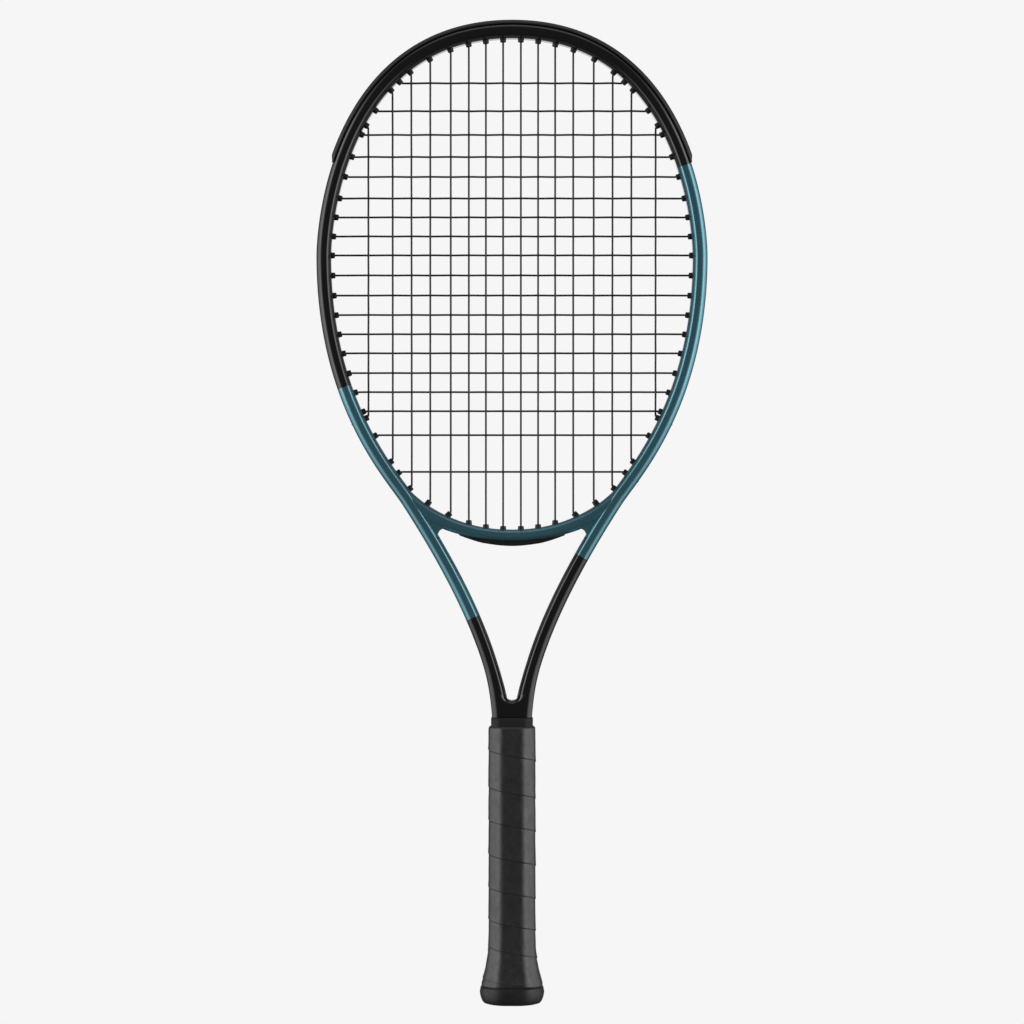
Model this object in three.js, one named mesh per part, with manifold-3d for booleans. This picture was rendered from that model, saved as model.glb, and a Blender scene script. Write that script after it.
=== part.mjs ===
// Adult tennis racket, strung, as an assembly of its separate pieces.
// Millimetres. +Z runs from the butt to the head, X is across the face, Y is through the strings.
import * as THREE from 'three';
import { mergeVertices } from 'three/addons/utils/BufferGeometryUtils.js';
import Module from 'manifold-3d';

const wasm = await Module();
wasm.setup();

// ---- driving dimensions -------------------------------------------------
const GAP = 0.3;                 // clearance left between touching pieces
const BEAM_HALF_W = 5.1;         // half width of the frame tube, seen from the front
const BEAM_HALF_D = 11;          // half depth of the frame tube
const GROOVE_FLOOR = 2.2;        // string groove floor, measured outwards from the tube's centre line
const GROOVE_HALF = 3;           // half width of the string groove
const BARREL_OUT = 2.3;          // how far a grommet barrel stands inside the hoop
const BARREL_R = 2.0;
const BARREL_BORE_R = 1.2;
const BEND_GAP = 1.1;            // the string runs this far out of its barrel before it bends
const STRING_R = 0.65;
const STRING_Y = 0.8;            // mains lie at -STRING_Y and crosses at +STRING_Y
const LOOP_U = 4.35;             // string loops outside the hoop, measured from the centre line
const HOOP_END_Z = 314;          // where the hoop hands over to the two shafts
const BUMPER_END_Z = 584;        // lower ends of the bumper guard
const GROOVE_END_Z = 320;
const MAIN_X = [6.2, 18.2, 30.1, 42.7, 57.0, 70.5, 83.8, 101.0];
const CROSS_Z = [641.7, 621.9, 605.2, 589.8, 575.9, 560.9, 547.7, 534.4, 521.2, 507.2,
  493.2, 479.6, 466.2, 452.9, 439.1, 425.8, 412.5, 395.8, 370.0];
const THROAT_MAINS = 3;          // mains each side of centre that go through the throat bridge strip
const COLLAR = [192.6, 199];
const GRIP = [12.4, 192.2];
const PALLET = [6, 191.5];
const CAP_TOP = 28;
const OCT = { x: 16.6, y: 14.4, c: 8.1 };     // outside of the grip: half sizes and corner cut
const GRIP_T = 1.5;

// ---- centre line of the tube, right half: top of the head down into the handle ----
const v2 = (x, z) => new THREE.Vector2(x, z);
const centreLine = new THREE.CurvePath();
centreLine.add(new THREE.CubicBezierCurve(v2(0, 677.2), v2(118.6, 677.2), v2(131, 545), v2(131, 520)));
centreLine.add(new THREE.CubicBezierCurve(v2(131, 520), v2(131, 417), v2(83.2, 367.5), v2(72, 350)));
centreLine.add(new THREE.CubicBezierCurve(v2(72, 350), v2(51.7, 318.3), v2(7.25, 246.7), v2(7.25, 190)));
centreLine.add(new THREE.LineCurve(v2(7.25, 190), v2(7.25, 12)));

// Frames along the right half: point p and outward normal n, both in the XZ plane.
function frameAt(t) {
  const p = centreLine.getPointAt(t);
  const d = centreLine.getTangentAt(t);
  return { p, n: v2(-d.y, d.x) };
}
const TABLE = Array.from({ length: 1601 }, (_, i) => ({ t: i / 1600, ...frameAt(i / 1600) }));

// Parameter t at which `value(frame)` crosses zero, looking between t0 and t1.
function crossing(value, t0, t1) {
  const rows = TABLE.filter((r) => r.t >= t0 && r.t <= t1);
  for (let i = 1; i < rows.length; i++) {
    const a = value(rows[i - 1]);
    const b = value(rows[i]);
    if (a === 0 || a * b < 0) return rows[i - 1].t + (rows[i].t - rows[i - 1].t) * (a / (a - b));
  }
  throw new Error('no crossing');
}
const tAtZ = (z) => crossing((r) => r.p.y - z, 0.002, 1);
const T_WIDE = tAtZ(520);

// The tube grows a little wider where the two shafts come together, then slims into the handle.
function lerpTable(rows, z) {
  if (z >= rows[0][0]) return rows[0][1];
  for (let i = 1; i < rows.length; i++) {
    const [z0, a] = rows[i - 1];
    const [z1, b] = rows[i];
    if (z >= z1) return b + (a - b) * ((z - z1) / (z0 - z1));
  }
  return rows[rows.length - 1][1];
}
const tubeWidth = (z) => lerpTable([[235, 1], [225, 1.05], [208, 1.2], [200, 1.24], [191, 1.15]], z);
const tubeDepth = (z) => lerpTable([[250, 1], [215, 0.92], [199, 0.8], [188, 0.7]], z);

// ---- mesh helpers ---------------------------------------------------------
function toManifold(geometry) {
  const g = geometry.clone();
  g.deleteAttribute('normal');
  g.deleteAttribute('uv');
  const m = mergeVertices(g, 1e-4);
  return new wasm.Manifold(new wasm.Mesh({
    numProp: 3,
    vertProperties: new Float32Array(m.attributes.position.array),
    triVerts: new Uint32Array(m.index.array),
  }));
}
function toGeometry(solid) {
  const mesh = solid.getMesh();
  const g = new THREE.BufferGeometry();
  g.setAttribute('position', new THREE.BufferAttribute(new Float32Array(mesh.vertProperties), 3));
  g.setIndex(new THREE.BufferAttribute(new Uint32Array(mesh.triVerts), 1));
  return g.toNonIndexed();
}
const union = (list) => list.reduce((a, b) => a.add(b));
const minus = (solid, list) => list.reduce((a, b) => a.subtract(b), solid);
const shapeOf = (points) => new THREE.Shape(points.map(([x, y]) => v2(x, y)));
const mirrored = (half) => [...half, ...half.map(([u, v]) => [u, -v]).reverse()];
const ngon = (r, n, turn = 0) => Array.from({ length: n }, (_, i) => {
  const a = turn + (i * 2 * Math.PI) / n;
  return [r * Math.cos(a), r * Math.sin(a)];
});
const flipX = (solid) => solid.mirror([1, 0, 0]);

// Extrude a section, then lay its stations along a list of frames {p, n} in the XZ plane.
// Section x is the outward direction n, and section y is depth along Y.
function sweep(section, frames, scale = () => [1, 1], yOffset = 0) {
  const steps = frames.length - 1;
  const g = new THREE.ExtrudeGeometry(shapeOf(section), { depth: steps, steps, bevelEnabled: false });
  const pos = g.attributes.position;
  for (let i = 0; i < pos.count; i++) {
    const f = frames[Math.round(pos.getZ(i))];
    const [su, sv] = scale(f.p.y);
    const u = pos.getX(i) * su * (f.k ?? 1);
    pos.setXYZ(i, f.p.x + f.n.x * u, yOffset - pos.getY(i) * sv, f.p.y + f.n.y * u);
  }
  return toManifold(g);
}

// Mitred frames for a polyline, so that a swept round stays round on each straight.
function polyFrames(points) {
  return points.map((p, i) => {
    const a = i > 0 ? p.clone().sub(points[i - 1]).normalize() : null;
    const b = i < points.length - 1 ? points[i + 1].clone().sub(p).normalize() : null;
    const d = (a && b ? a.clone().add(b) : (a ?? b)).normalize();
    const k = a && b ? 1 / Math.max(0.5, d.dot(a)) : 1;
    return { p, n: v2(-d.y, d.x), k };
  });
}

const halfFrames = (t0, t1, steps) =>
  Array.from({ length: steps + 1 }, (_, i) => frameAt(t0 + ((t1 - t0) * i) / steps));
const mirrorFrame = (f) => ({ ...f, p: v2(-f.p.x, f.p.y), n: v2(-f.n.x, f.n.y) });
// The whole arc, from the left side at t1, over the top, to the right side at t1.
function arcFrames(t1, steps) {
  const right = halfFrames(0, t1, steps);
  return [...right.slice(1).reverse().map(mirrorFrame), ...right];
}

// A block outlined in XZ and extruded through Y, with its long edges chamfered.
function slab(points, halfDepth, chamfer = 0) {
  const g = new THREE.ExtrudeGeometry(shapeOf(points), {
    depth: 2 * (halfDepth - chamfer), steps: 1, bevelEnabled: chamfer > 0,
    bevelThickness: chamfer, bevelSize: chamfer, bevelOffset: -chamfer, bevelSegments: 1,
  });
  g.translate(0, 0, -(halfDepth - chamfer));
  g.rotateX(Math.PI / 2);
  return toManifold(g);
}

// An eight-sided body along Z; grow(z) widens it, so that a flared butt can be drawn.
const octagon = (x, y, c) => [[x, y - c], [x - c, y], [c - x, y], [-x, y - c],
  [-x, c - y], [c - x, -y], [x - c, -y], [x, c - y]];
const insetOct = (d) => octagon(OCT.x - d, OCT.y - d, OCT.c - 0.586 * d);
function octBody(inset, zs, grow = () => 0, base = insetOct(inset)) {
  const steps = zs.length - 1;
  const g = new THREE.ExtrudeGeometry(shapeOf(base), { depth: steps, steps, bevelEnabled: false });
  const pos = g.attributes.position;
  for (let i = 0; i < pos.count; i++) {
    const z = zs[Math.round(pos.getZ(i))];
    const s = grow(z);
    pos.setXYZ(i, pos.getX(i) * (1 + s / OCT.x), pos.getY(i) * (1 + (0.95 * s) / OCT.y), z);
  }
  return toManifold(g);
}
const flare = (z) => lerpTable(
  [[46, 0], [37, 0.25], [32.5, 0.9], [24, 2.1], [15.7, 4.3], [12, 5.4], [8, 5.9], [3, 4.6], [0, 2.2]], z);

// ---- string holes and grommet barrels -------------------------------------
const INNER_U = -(BEAM_HALF_W + BARREL_OUT);
const BEND_U = INNER_U - BEND_GAP;
const BARREL_MID_U = -(BEAM_HALF_W + 1.3);
const midOf = (r) => r.p.clone().addScaledVector(r.n, BARREL_MID_U);
const alongU = (t, u) => { const f = frameAt(t); return f.p.clone().addScaledVector(f.n, u); };

// Each hole: the bend inside the hoop, the barrel's tip, the exit on the groove floor, the string's
// place outside, t where it leaves, and which strip holds it.
function holeFrom(kind, t, bend, exit, loop, strip) {
  const tip = bend.clone().addScaledVector(exit.clone().sub(bend).normalize(), BEND_GAP);
  return { kind, t, bend, tip, exit, loop, strip };
}
function headHole(kind, t) {
  const strip = frameAt(t).p.y > BUMPER_END_Z ? 'bumper' : 'side';
  return holeFrom(kind, t, alongU(t, BEND_U), alongU(t, 2.5), alongU(t, LOOP_U), strip);
}
function slantHole(x, z) {
  const t = tAtZ(z);
  const bend = v2(x, bridgeTopZ(x) + 2.8);
  const exit = alongU(t, 2.5);
  const d = exit.clone().sub(bend).normalize();
  const loop = exit.clone().addScaledVector(d, (LOOP_U - 2.5) / d.dot(frameAt(t).n));
  return holeFrom('low', t, bend, exit, loop, 'side');
}
const bridgeTop = new THREE.CubicBezierCurve(v2(0, 329.9), v2(30, 329.9), v2(50, 340), v2(72, 359.5));
const bridgeTopZ = (x) => {
  let best = bridgeTop.getPoint(0);
  for (let i = 1; i <= 400; i++) {
    const p = bridgeTop.getPoint(i / 400);
    if (Math.abs(p.x - x) < Math.abs(best.x - x)) best = p;
  }
  return best.y;
};
const bridgeLowZ = (x) => lerpTable([[-0, 322], [-19, 323.4], [-37, 327.8]], -x);
function throatHole(x) {
  const exit = v2(x, bridgeLowZ(x) - 1.2);
  const bend = v2(x, bridgeTopZ(x) + BARREL_OUT + BEND_GAP);
  return holeFrom('low', undefined, bend, exit, v2(x, exit.y - 1.65), 'throat');
}
const topHoles = MAIN_X.map((x) => headHole('top', crossing((r) => midOf(r).x - x, 0.002, T_WIDE)));
const lowHoles = MAIN_X.map((x, i) => {
  if (i < THROAT_MAINS) return throatHole(x);
  if (i === 3) return slantHole(x, 325.5);
  if (i === 4) return slantHole(x, 338.5);
  return headHole('low', crossing((r) => midOf(r).x - x, T_WIDE, tAtZ(340)));
});
const sideHoles = CROSS_Z.map((z) => headHole('cross', crossing((r) => midOf(r).y - z, 0.05, tAtZ(345))));
const holes = [...topHoles, ...lowHoles, ...sideHoles];
const yOf = (hole) => (hole.kind === 'cross' ? STRING_Y : -STRING_Y);

const along = (from, to, extra0, extra1) => {
  const d = to.clone().sub(from).normalize();
  return polyFrames([from.clone().addScaledVector(d, -extra0), to.clone().addScaledVector(d, extra1)]);
};
const SQUARE_TURN = Math.PI / 4;
const clearSquare = ngon(Math.SQRT2 * (BARREL_R + 0.1), 4, SQUARE_TURN);
const holeCut = (h) => sweep(clearSquare, along(h.tip, h.exit, 3, 6), undefined, yOf(h));
const barrel = (h) => sweep(ngon(BARREL_R, 5), along(h.tip, h.exit, 0, 0.5), undefined, yOf(h));
const boreSquare = ngon(BARREL_BORE_R, 4, SQUARE_TURN);
const bore = (h) => sweep(boreSquare, along(h.tip, h.exit, 3, 6), undefined, yOf(h));
const bothSides = (list) => [...list, ...list.map(flipX)];

// ---- frame ------------------------------------------------------------------
const BEAM = mirrored([[-5.1, 5.5], [-3.2, 9], [0, 11], [2.9, 11], [5.1, 6.4]]);
const CAVITY = mirrored([[-3.7, 4.6], [-1.8, 8.3], [2.3, 9.5], [0.7, 4.0]]);
const SHAFT_CAVITY = mirrored([[-3.7, 4.8], [-1.8, 8.6], [2.2, 9.5], [3.7, 5.9]]);
const fat = (section, d) => section.map(([u, v]) => [u + Math.sign(u) * d, v + Math.sign(v) * d]);
const tubeScale = (z) => [tubeWidth(z), tubeDepth(z)];

const T_HOOP = tAtZ(HOOP_END_Z);
const HOOP_STEPS = 25;
const HOOP_HALF = halfFrames(0, T_HOOP, HOOP_STEPS);
const T_GROOVE = tAtZ(GROOVE_END_Z);
const T_BUMPER = tAtZ(BUMPER_END_Z);

function frameHoop() {
  const outer = sweep(BEAM, arcFrames(T_HOOP, HOOP_STEPS));
  const groove = sweep([[GROOVE_FLOOR, -GROOVE_HALF], [8, -GROOVE_HALF], [8, GROOVE_HALF],
    [GROOVE_FLOOR, GROOVE_HALF]], arcFrames(T_GROOVE, HOOP_STEPS));
  const hollow = sweep(CAVITY, arcFrames(T_HOOP + 0.004, HOOP_STEPS));
  const own = holes.filter((h) => h.strip !== 'throat').map(holeCut);
  return minus(outer, [hollow, groove, ...bothSides(own)]);
}

// The web fills the crotch where the shafts meet, with a round bottom to the throat opening.
function crotchWeb() {
  const pts = [[0.2, 197], [0.2, 211.2]];
  for (let i = 1; i <= 5; i++) {
    const a = (i / 5) * (Math.PI / 2) * 0.92;
    pts.push([0.2 + 4.9 * Math.sin(a), 216.1 - 4.9 * Math.cos(a)]);
  }
  pts.push([9.5, 222], [9.5, 197]);
  return slab(pts, 8.5, 0);
}
const SHAFT_Z = [240, 232, 225, 217, 211, 205, 199, 194, 191, 188, 14];
function shaftFrames() {
  const t0 = T_HOOP + GAP / centreLine.getLength();
  return [...halfFrames(t0, tAtZ(248), 8), ...SHAFT_Z.map((z) => frameAt(tAtZ(z)))];
}
function frameShaft() {
  const frames = shaftFrames();
  const outer = sweep(BEAM, frames, tubeScale).add(crotchWeb());
  const last = frames[frames.length - 1];
  const inner = [frameAt(T_HOOP - 0.004), ...frames, { p: v2(last.p.x, 5), n: last.n }];
  return outer.subtract(sweep(SHAFT_CAVITY, inner, tubeScale));
}
// Solid, slightly enlarged tube: cut from whatever has to sit against the frame.
function frameClearance() {
  const frames = [...HOOP_HALF.filter((f) => f.p.y < 440), ...shaftFrames()];
  const right = sweep(fat(BEAM, GAP), frames, tubeScale);
  return [right, flipX(right)];
}

function throatBridge() {
  const low = [[0, 322], [19, 323.4], [37, 327.8], [44.5, 330.6], [47.6, 330.9], [50, 329.4],
    [51.5, 326.4]];
  const up = bridgeTop.getPoints(9).map((p) => [p.x, p.y]).reverse();
  const right = [...low, [58, 326], [78, 352], ...up];
  const left = right.slice(1, -1).map(([x, z]) => [-x, z]).reverse();
  const block = slab([...right, ...left], 10.4, 1.6);
  const cuts = holes.filter((h) => h.strip === 'throat' || h.kind === 'low').map(holeCut);
  return minus(block, [...frameClearance(), ...bothSides(cuts)]);
}

// ---- bumper and grommet strips ------------------------------------------------
const BUMPER = mirrored([[2.5, 2.6], [5.4, 2.6], [5.4, 6.5], [4.3, 9.0], [5.4, 9.7], [7.5, 6.5], [7.5, 1.9],
  [3.1, 1.9]]);
const STRIP = [[2.5, -2.6], [3.1, -2.6], [3.1, 2.6], [2.5, 2.6]];

function withBarrels(base, list) {
  return minus(base.add(union(list.map(barrel))), list.map(bore));
}
function bumperGuard() {
  const list = holes.filter((h) => h.strip === 'bumper');
  const base = sweep(BUMPER, arcFrames(T_BUMPER, 14));
  const both = union(bothSides(list.map(barrel)));
  return minus(base.add(both), bothSides(list.map(bore)));
}
function grommetStrip() {
  const list = holes.filter((h) => h.strip === 'side');
  const gap = GAP / centreLine.getLength();
  return withBarrels(sweep(STRIP, halfFrames(T_BUMPER + gap, T_GROOVE - 0.001, 26)), list);
}
function throatStrip() {
  const zAt = (x) => bridgeLowZ(x) - GAP - 0.05;
  const xs = [0, 19, 36.5];
  const low = [[0, 318.4], [19, 320.1], [33, 324.2]];
  const right = [...low, ...xs.map((x) => [x, zAt(x)]).reverse()];
  const left = right.slice(1, -1).map(([x, z]) => [-x, z]).reverse();
  const lens = slab([...right, ...left], 5.2, 0);
  const roof = [[60, 330], [19, 322], [0, 320.6], [-19, 322], [-60, 330]];
  const channel = slab([[-60, 300], [60, 300], ...roof], 1.8);
  const list = holes.filter((h) => h.strip === 'throat');
  return minus(lens.subtract(channel).add(union(bothSides(list.map(barrel)))), bothSides(list.map(bore)));
}

// ---- strings --------------------------------------------------------------------
const flipPoint = (p) => v2(-p.x, p.y);
const mirrorHole = (h) => ({ ...h, side: -1, bend: flipPoint(h.bend), loop: flipPoint(h.loop) });
// Points of a loop outside the hoop, between two holes on the same side of the racket.
function loopPoints(a, b) {
  if (a.strip === 'throat' && b.strip === 'throat') return [];
  const side = a.side ?? 1;
  const ta = a.t ?? tAtZ(322);
  const tb = b.t ?? tAtZ(322);
  return [1, 2].map((i) => {
    const p = alongU(ta + ((tb - ta) * i) / 3, LOOP_U);
    return v2(p.x * side, p.y);
  });
}
function stringBody(path, y) {
  return sweep(ngon(STRING_R, 6, Math.PI / 6), polyFrames(path), undefined, y);
}
const knot = (at, y) => {
  const g = new THREE.SphereGeometry(1.0, 8, 5);
  g.translate(at.x, y, at.y);
  return toManifold(g);
};
function mainString() {
  const lows = [...lowHoles.map(mirrorHole).reverse(), ...lowHoles];
  const tops = [...topHoles.map(mirrorHole).reverse(), ...topHoles];
  const path = [];
  for (let i = 0; i < 16; i++) {
    const up = i % 2 === 0;
    const [from, to] = up ? [lows[i], tops[i]] : [tops[i], lows[i]];
    path.push(from.loop, from.bend, to.bend, to.loop);
    const next = up ? tops[i + 1] : lows[i + 1];
    if (next && Math.sign(to.bend.x) === Math.sign(next.bend.x)) path.push(...loopPoints(to, next));
  }
  const first = path[0];
  const last = path[path.length - 1];
  return stringBody(path, -STRING_Y)
    .add(knot(first, -STRING_Y)).add(knot(last, -STRING_Y));
}
function crossString() {
  const path = [];
  sideHoles.forEach((h, i) => {
    const left = mirrorHole(h);
    const [from, to] = i % 2 === 0 ? [left, h] : [h, left];
    path.push(from.loop, from.bend, to.bend, to.loop);
    const next = sideHoles[i + 1];
    if (next) path.push(...loopPoints(to, i % 2 === 0 ? next : mirrorHole(next)));
  });
  return stringBody(path, STRING_Y)
    .add(knot(path[0], STRING_Y)).add(knot(path[path.length - 1], STRING_Y));
}

// ---- handle ------------------------------------------------------------------------
const shaftsClear = () => {
  const [a, b] = frameClearance();
  const tail = slab([[0.2, 0], [12.6, 0], [12.6, 20], [0.2, 20]], 7);
  return [a, b, tail, flipX(tail)];
};
function pallet(side) {
  const body = octBody(GRIP_T + GAP, PALLET);
  const half = slab([[-40, 0], [40, 0], [40, 220], [-40, 220]], 20);
  const shifted = half.translate([0, side * (20 + GAP / 2), 0]);
  return minus(body.intersect(shifted), [...shaftsClear(), ...stapleSlots()]);
}
function handleCollar() {
  const ring = octBody(0, COLLAR, undefined, octagon(14.5, 12.6, 5.2));
  const web = slab([[-9.8, 180], [9.8, 180], [9.8, 211], [-9.8, 211]], 8.9);
  return minus(ring, [...frameClearance(), web]);
}
const GRIP_ZS = [12.4, 15.7, 20, 24, 28.5, 32.5, 37, 46, 188.5, 192.2];
function baseGrip() {
  const soft = (z) => (z > 190 ? -0.9 : flare(z));
  const outer = octBody(0, GRIP_ZS, soft);
  const inner = octBody(GRIP_T, [28.3, 200]);
  const overCap = octBody(GRIP_T, [0, 12.4, 15.7, 20, 24, 28.3], flare);
  return minus(outer, [inner, overCap]);
}
function buttCap() {
  const sleeve = octBody(GRIP_T + GAP, [12.1, 15.7, 20, 24, CAP_TOP], flare);
  const rim = octBody(0, [0, 1.2, 3, 8, 12.1], flare);
  const pocket = octBody(GRIP_T, [4, 40]);
  const opening = octBody(5.6, [-1, 5]);
  return minus(sleeve.add(rim), [pocket, opening, ...stapleSlots()]);
}
// Snap-in door in the butt, held by friction on two tongues.
function buttDoor() {
  const plate = octBody(5.9, [0.5, 2.8]);
  const tongues = [-1, 1].map((side) => {
    const g = new THREE.BoxGeometry(1.6, 7, 3.2);
    g.translate(side * 9.4, 0, 4.2);
    return toManifold(g);
  });
  return plate.add(union(tongues));
}
// A wire staple that pins the butt cap to one pallet; grow and reach make the slot it sits in.
function staple(side, grow = 0, reach = 0) {
  const box = (w, y0, y1, h, x) => {
    const g = new THREE.BoxGeometry(w + 2 * grow, y1 - y0, h + 2 * grow);
    g.translate(x, (side * (y0 + y1)) / 2, 22);
    return toManifold(g);
  };
  const legs = [-4, 4].map((x) => box(0.9, 9.6 - grow, 13.9, 1.2, x));
  return union([box(8.9, 13.5 - grow, 14.3 + reach, 1.2, 0), ...legs]);
}
const stapleSlots = () => [staple(-1, 0.25, 3), staple(1, 0.25, 3)];

// ---- assembly ------------------------------------------------------------------------
const COLOURS = {
  gloss_black: 0x0b0b0d, teal: 0x4a7684, bumper: 0x2c2d2f, grommet: 0x161617, string: 0x101010,
  foam: 0x8a8172, rubber: 0x1c1c1d, grip: 0x202123, cap: 0x161618, steel: 0xb8b8b8,
};
const racket = new THREE.Group();
racket.name = 'tennis_racket';
function addNode(name, solid, colour, roughness) {
  const material = new THREE.MeshStandardMaterial({ color: COLOURS[colour], roughness });
  const mesh = new THREE.Mesh(toGeometry(solid), material);
  mesh.name = name;
  racket.add(mesh);
}

addNode('frame_hoop', frameHoop(), 'gloss_black', 0.25);
const shaft = frameShaft();
addNode('frame_shaft_right', shaft, 'gloss_black', 0.25);
addNode('frame_shaft_left', flipX(shaft), 'gloss_black', 0.25);
addNode('throat_bridge', throatBridge(), 'teal', 0.3);
addNode('bumper_guard', bumperGuard(), 'bumper', 0.6);
const sideStrip = grommetStrip();
addNode('grommet_strip_right', sideStrip, 'grommet', 0.5);
addNode('grommet_strip_left', flipX(sideStrip), 'grommet', 0.5);
addNode('throat_grommet_strip', throatStrip(), 'grommet', 0.5);
addNode('main_string', mainString(), 'string', 0.4);
addNode('cross_string', crossString(), 'string', 0.4);
addNode('handle_pallet_front', pallet(-1), 'foam', 0.8);
addNode('handle_pallet_back', pallet(1), 'foam', 0.8);
addNode('handle_collar', handleCollar(), 'rubber', 0.8);
addNode('base_grip', baseGrip(), 'grip', 0.7);
addNode('butt_cap', buttCap(), 'cap', 0.5);
addNode('butt_cap_staple_front', staple(-1), 'steel', 0.3);
addNode('butt_cap_staple_back', staple(1), 'steel', 0.3);
addNode('butt_cap_door', buttDoor(), 'cap', 0.5);

export default racket;
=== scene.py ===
"""Strung adult tennis racket: the looks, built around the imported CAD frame. Metres, +Z up."""
import math

import bpy
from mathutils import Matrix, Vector
from mathutils import noise as field


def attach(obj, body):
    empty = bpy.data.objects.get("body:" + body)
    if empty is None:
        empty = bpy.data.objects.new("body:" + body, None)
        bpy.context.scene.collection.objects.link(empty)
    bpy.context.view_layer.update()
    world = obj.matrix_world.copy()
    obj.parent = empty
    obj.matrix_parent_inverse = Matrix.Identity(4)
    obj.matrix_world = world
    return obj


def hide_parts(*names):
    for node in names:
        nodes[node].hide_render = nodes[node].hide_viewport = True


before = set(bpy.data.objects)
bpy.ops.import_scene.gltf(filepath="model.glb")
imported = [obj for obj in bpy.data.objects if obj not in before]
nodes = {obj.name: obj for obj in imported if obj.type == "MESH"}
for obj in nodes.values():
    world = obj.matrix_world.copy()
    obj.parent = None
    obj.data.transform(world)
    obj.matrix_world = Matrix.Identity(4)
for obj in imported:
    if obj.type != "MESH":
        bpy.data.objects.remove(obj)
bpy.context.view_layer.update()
scene = bpy.context.scene
MM = 0.001

# ---- driving dimensions, in millimetres, shared with the CAD model --------------------------
HALF_W, HALF_D = 5.1, 11.0          # the tube's half width and half depth
GROOVE_FLOOR, GROOVE_HALF = 2.2, 3.0
BARREL_OUT, BARREL_R, BORE_R = 2.4, 2.05, 1.05
BEND_GAP = 0.25
STRING_R = 0.7
MAIN_Y, CROSS_Y = -0.8, 0.8         # planes in which the mains and crosses pass through the tube
WEAVE = 0.66                        # how far a string is pushed aside where it crosses another
HOLE_OUT_U, LOOP_U = 2.5, 4.35      # ends of the holes, and the string loops outside them
HOOP_END_Z, BUMPER_END_Z, GROOVE_END_Z = 314.0, 584.0, 320.0
MAIN_X = [6.2, 18.2, 30.1, 42.7, 57.0, 70.5, 83.8, 101.0]
CROSS_Z = [641.7, 621.9, 605.2, 589.8, 575.9, 560.9, 547.7, 534.4, 521.2, 507.2,
           493.2, 479.6, 466.2, 452.9, 439.1, 425.8, 412.5, 395.8, 370.0]
THROAT_MAINS = 3
OCT_X, OCT_Y, OCT_C = 16.6, 14.4, 8.1
PAINT_SPLIT = {1: (583.0, 311.0), -1: (429.0, 268.7)}   # side: teal runs between these heights


# ---- centre line of the tube, right half ------------------------------------------------------
def bezier(p0, p1, p2, p3, n):
    out = []
    for i in range(n + 1):
        t = i / n
        s = 1 - t
        out.append(tuple(s**3 * a + 3 * s * s * t * b + 3 * s * t * t * c + t**3 * d
                         for a, b, c, d in zip(p0, p1, p2, p3)))
    return out


SPANS = [((0, 677.2), (118.6, 677.2), (131, 545), (131, 520)),
         ((131, 520), (131, 417), (83.2, 367.5), (72, 350)),
         ((72, 350), (51.7, 318.3), (7.25, 246.7), (7.25, 190)),
         ((7.25, 190), (7.25, 130), (7.25, 70), (7.25, 12))]


class Line:
    """A polyline in the XZ plane that is read by distance along it."""

    def __init__(self, points):
        self.pts = [points[0]]
        for p in points[1:]:
            if math.dist(p, self.pts[-1]) > 1e-6:
                self.pts.append(p)
        self.s = [0.0]
        for a, b in zip(self.pts, self.pts[1:]):
            self.s.append(self.s[-1] + math.dist(a, b))
        self.length = self.s[-1]

    def at(self, s):
        s = min(max(s, 0.0), self.length)
        lo, hi = 0, len(self.s) - 1
        while hi - lo > 1:
            mid = (lo + hi) // 2
            if self.s[mid] <= s:
                lo = mid
            else:
                hi = mid
        f = (s - self.s[lo]) / (self.s[hi] - self.s[lo])
        a, b = self.pts[lo], self.pts[hi]
        return (a[0] + (b[0] - a[0]) * f, a[1] + (b[1] - a[1]) * f)

    def frame(self, s):
        """Point, and the normal to the left of travel turned outwards, as (x, z, nx, nz)."""
        x, z = self.at(s)
        ax, az = self.at(s - 0.6)
        bx, bz = self.at(s + 0.6)
        d = math.hypot(bx - ax, bz - az)
        return (x, z, -(bz - az) / d, (bx - ax) / d)


tube_line = Line([p for span in SPANS for p in bezier(*span, 240)])


def crossing(value, s0, s1, steps=900):
    """Distance along the tube at which value(frame) changes sign."""
    last_s, last = s0, value(tube_line.frame(s0))
    for i in range(1, steps + 1):
        s = s0 + (s1 - s0) * i / steps
        now = value(tube_line.frame(s))
        if last * now <= 0:
            return last_s + (s - last_s) * (last / (last - now) if last != now else 0)
        last_s, last = s, now
    raise ValueError("no crossing")


def s_at_z(z):
    return crossing(lambda f: f[1] - z, 1.0, tube_line.length - 0.01)


def lerp_table(rows, z):
    if z >= rows[0][0]:
        return rows[0][1]
    for (z0, a), (z1, b) in zip(rows, rows[1:]):
        if z >= z1:
            return b + (a - b) * (z - z1) / (z0 - z1)
    return rows[-1][1]


def smooth(a, b, x):
    t = min(max((x - a) / (b - a), 0.0), 1.0)
    return t * t * (3 - 2 * t)


def along(f, u):
    return (f[0] + f[2] * u, f[1] + f[3] * u)


# ---- mesh helpers ---------------------------------------------------------------------------
def add_mesh(name, verts, faces, materials, weighted=False, face_mats=None):
    """A smooth-shaded mesh object from millimetre vertices. weighted keeps its large faces flat."""
    data = bpy.data.meshes.new(name)
    data.from_pydata([(x * MM, y * MM, z * MM) for x, y, z in verts], [], faces)
    data.update()
    obj = bpy.data.objects.new(name, data)
    scene.collection.objects.link(obj)
    for m in materials:
        data.materials.append(m)
    if face_mats:
        data.polygons.foreach_set("material_index", face_mats)
    data.polygons.foreach_set("use_smooth", [True] * len(data.polygons))
    if weighted:
        mod = obj.modifiers.new("facets", "WEIGHTED_NORMAL")
        mod.weight = 60
    return obj


def finish_piece(obj, body, replaced=()):
    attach(obj, body)
    if replaced:
        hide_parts(*replaced)


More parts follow.
